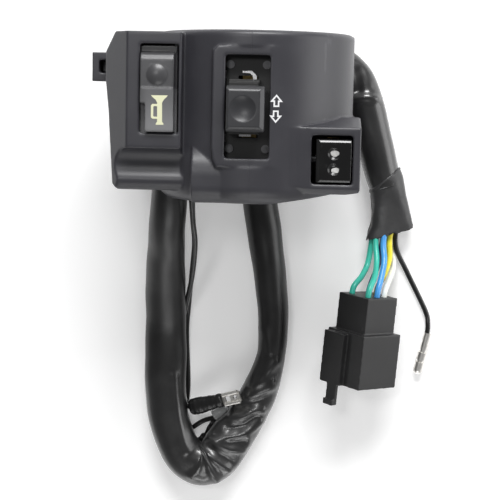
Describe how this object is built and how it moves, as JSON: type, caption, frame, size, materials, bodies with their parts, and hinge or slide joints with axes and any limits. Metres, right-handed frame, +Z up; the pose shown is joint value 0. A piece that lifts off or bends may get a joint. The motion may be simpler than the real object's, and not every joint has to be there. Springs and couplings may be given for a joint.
{
  "type": "handlebar switch cluster",
  "caption": "Split clamp housing for a motorbike's left handlebar, with a sliding turn switch, horn push, dimmer rocker and a sleeved harness ending in a square connector.",
  "frame": {"origin": "on the handlebar's axis, halfway along the clamp", "axes": "+X across the bar from the horn side to the dimmer side, +Y along the bar towards the grip, +Z up through the switch faces"},
  "size_m": [0.1244, 0.1715, 0.0733],
  "materials": {
    "case_plastic": "fine grain",
    "knob_plastic": "fine grain",
    "button_plastic": "satin",
    "rocker_plastic": "gloss",
    "guide_plastic": "matte",
    "nylon": "satin",
    "board": "matte",
    "steel": "satin",
    "contact_brass": "satin",
    "grommet_rubber": "matte",
    "sleeve_vinyl": "semi-gloss",
    "tape_vinyl": "semi-gloss",
    "black_vinyl": "semi-gloss",
    "teal_vinyl": "semi-gloss",
    "navy_vinyl": "semi-gloss",
    "blue_vinyl": "semi-gloss",
    "yellow_vinyl": "semi-gloss",
    "white_vinyl": "semi-gloss",
    "clear_vinyl": "translucent",
    "connector_plastic": "matte",
    "tinned_metal": "tinned"
  },
  "bodies": {
    "cluster": {"lower_case": "case_plastic", "upper_case": "case_plastic", "case_screws": "steel", "turn_base": "board", "turn_base_screws": "steel", "turn_contacts": "contact_brass", "turn_guide": "guide_plastic", "turn_rivets": "steel", "horn_plate": "board", "horn_plate_screws": "steel", "horn_contacts": "contact_brass", "horn_spring": "steel", "dimmer_base": "board", "dimmer_base_screws": "steel", "dimmer_contacts": "contact_brass", "dimmer_pin": "steel", "sleeve_grommet": "grommet_rubber", "harness_sleeve": "sleeve_vinyl", "harness_tape": "tape_vinyl", "teal_wire_a": "teal_vinyl", "teal_wire_b": "teal_vinyl", "navy_wire": "navy_vinyl", "blue_wire": "blue_vinyl", "yellow_wire": "yellow_vinyl", "white_wire": "white_vinyl", "connector_shell": "connector_plastic", "connector_pins": "tinned_metal", "bullet_lead": "black_vinyl", "bullet_terminal": "tinned_metal", "clutch_lead_a": "black_vinyl", "clutch_lead_b": "black_vinyl", "lead_boot": "black_vinyl", "spade_terminal": "tinned_metal", "spade_cover": "clear_vinyl"},
    "turn_slider": {"turn_knob": "knob_plastic", "turn_carrier": "nylon", "turn_bridge": "contact_brass", "turn_leaf_spring": "steel", "detent_ball": "steel", "detent_spring": "steel"},
    "horn_push": {"horn_button": "button_plastic", "horn_bridge": "contact_brass"},
    "dimmer_lever": {"dimmer_rocker": "rocker_plastic", "dimmer_plunger": "nylon", "plunger_spring": "steel"},
    "dimmer_contact": {"dimmer_blade": "contact_brass"}
  },
  "joints": [
    {"name": "turn_slide", "type": "slide", "parent": "cluster", "child": "turn_slider", "axis": [0, 1, 0], "range_m": [-0.006, 0.006]},
    {"name": "horn_press", "type": "slide", "parent": "cluster", "child": "horn_push", "axis": [0, 0, -1], "range_m": [0, 0.003], "stiffness_N_per_m": 300, "springref_m": -0.003, "deforming": ["horn_spring"]},
    {"name": "dimmer_tilt", "type": "hinge", "parent": "cluster", "child": "dimmer_lever", "pos_m": [0.02785, -0.0135, 0.02618], "axis": [1, 0, 0], "range_deg": [-9, 0]},
    {"name": "dimmer_contact_tilt", "type": "hinge", "parent": "cluster", "child": "dimmer_contact", "pos_m": [0.02785, -0.0135, 0.01263], "axis": [1, 0, 0], "range_deg": [0, 7.2]}
  ],
  "couplings": [
    {"joint": "dimmer_contact_tilt", "follows": "dimmer_tilt", "ratio": -0.8}
  ]
}
